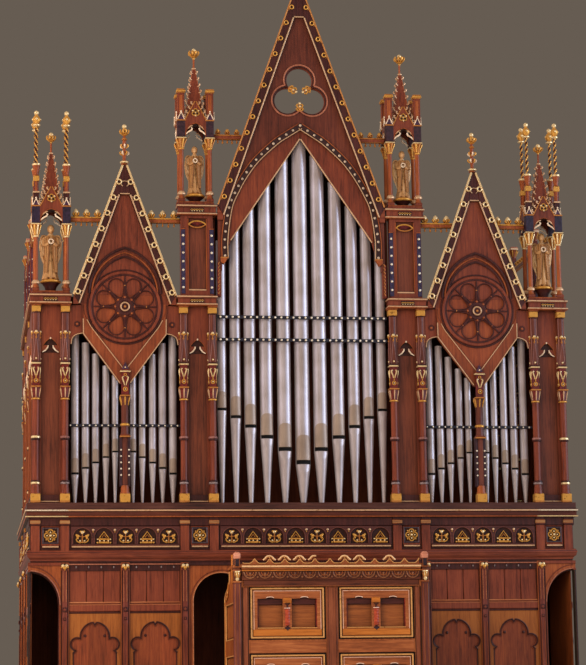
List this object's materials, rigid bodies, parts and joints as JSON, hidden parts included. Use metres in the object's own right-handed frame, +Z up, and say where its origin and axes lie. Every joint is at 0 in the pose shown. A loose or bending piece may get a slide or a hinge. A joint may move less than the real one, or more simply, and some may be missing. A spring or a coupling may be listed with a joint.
{
  "type": "pipe organ",
  "caption": "Gothic-revival pipe organ: gabled wooden case with towers, canopied niches and three fields of display pipes over a panelled, arched lower storey, with a console case.",
  "frame": {"origin": "middle of the whole footprint at floor level", "axes": "+Z up, the pipe front faces -Y, +X to the right seen from the front"},
  "size_m": [6.48, 5.165, 9.45],
  "materials": {
    "case_wood": "stained and varnished, satin",
    "console_wood": "stained and varnished, satin",
    "back_boards": "stained boards, matt",
    "pipe_metal": "burnished tin alloy, soft gloss",
    "stay_paint": "dark blue paint",
    "gilding": "gold leaf, soft gloss"
  },
  "bodies": {
    "root": {"lower_wall_front_left": "case_wood", "lower_wall_front_right": "case_wood", "lower_wall_front_centre": "case_wood", "passage_arch_left": "case_wood", "passage_arch_right": "case_wood", "corner_arch_left": "case_wood", "corner_arch_right": "case_wood", "lower_wall_side_left": "case_wood", "lower_wall_side_right": "case_wood", "lower_wall_back": "back_boards", "cornice_front": "case_wood", "cornice_side_left": "case_wood", "cornice_side_right": "case_wood", "cornice_back": "back_boards", "pipe_deck": "back_boards", "tower_outer_left": "case_wood", "tower_outer_right": "case_wood", "tower_inner_left": "case_wood", "tower_inner_right": "case_wood", "field_posts": "case_wood", "pipes_left": "pipe_metal", "pipes_right": "pipe_metal", "pipes_centre": "pipe_metal", "pipe_stays": "stay_paint", "gable_left": "case_wood", "gable_right": "case_wood", "gable_centre": "case_wood", "gable_finials": "gilding", "flank_left": "case_wood", "flank_right": "case_wood", "back_wall": "back_boards", "roof_left": "back_boards", "roof_right": "back_boards", "centre_box_left": "back_boards", "centre_box_right": "back_boards", "centre_box_back": "back_boards", "centre_roof": "back_boards", "niche_outer_left": "case_wood", "niche_outer_right": "case_wood", "niche_inner_left": "case_wood", "niche_inner_right": "case_wood", "statues": "gilding", "crest_beams": "gilding", "console_case": "console_wood", "console_crest": "console_wood"}
  },
  "joints": []
}
